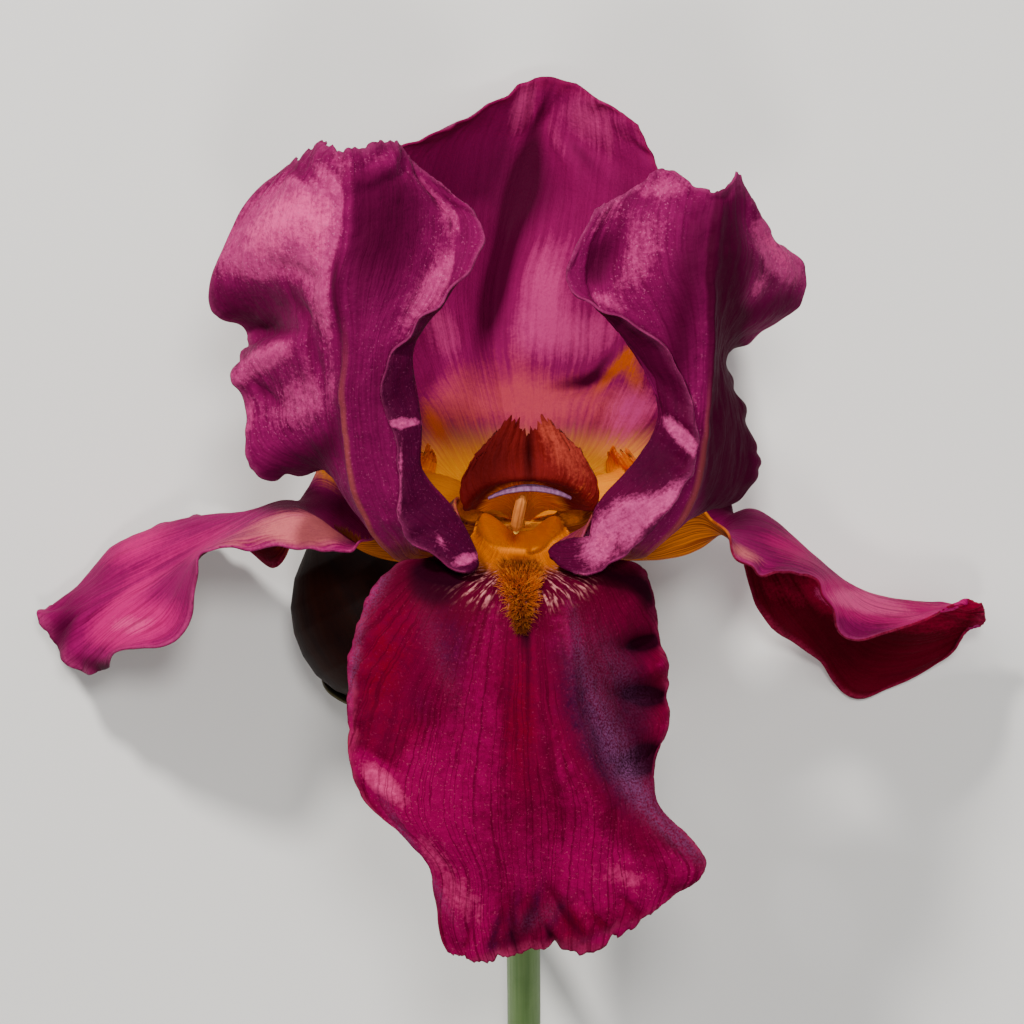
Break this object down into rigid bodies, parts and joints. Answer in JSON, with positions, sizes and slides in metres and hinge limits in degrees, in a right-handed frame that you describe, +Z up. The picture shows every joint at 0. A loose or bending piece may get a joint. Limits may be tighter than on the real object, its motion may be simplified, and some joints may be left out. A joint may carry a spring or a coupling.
{
  "type": "bearded iris flower",
  "caption": "Cut bearded iris bloom lying on its back: wine-purple upright and hanging petals, a furry beard, crested style arms, a dark bud and a short green stem.",
  "frame": {"origin": "middle of the base of the whole lying bloom, on the surface it rests on", "axes": "+Z up from the surface toward the front fall, +Y from the cut end of the stem toward the tips of the upright petals, +X toward the right fall"},
  "size_m": [0.159, 0.1794, 0.081],
  "materials": {
    "fall_velvet": "matte",
    "standard_velvet": "matte",
    "beard": "matte",
    "style_arm": "matte",
    "stigma_lip": "satin",
    "filament": "satin",
    "anther": "matte",
    "stem_green": "satin",
    "spathe": "matte",
    "bud_skin": "matte"
  },
  "bodies": {
    "root": {"anther_front": "anther", "anther_left": "anther", "anther_right": "anther", "beard_front": "beard", "beard_left": "beard", "beard_right": "beard", "bud": "bud_skin", "bud_spathe": "spathe", "bud_stalk": "stem_green", "fall_front": "fall_velvet", "fall_left": "fall_velvet", "fall_right": "fall_velvet", "filament_front": "filament", "filament_left": "filament", "filament_right": "filament", "ovary": "stem_green", "perianth_tube": "stem_green", "spathe_inner": "spathe", "spathe_outer": "spathe", "standard_back": "standard_velvet", "standard_left": "standard_velvet", "standard_right": "standard_velvet", "stem": "stem_green", "stigma_lip_front": "stigma_lip", "stigma_lip_left": "stigma_lip", "stigma_lip_right": "stigma_lip", "style_arm_front": "style_arm", "style_arm_left": "style_arm", "style_arm_right": "style_arm"}
  },
  "joints": []
}
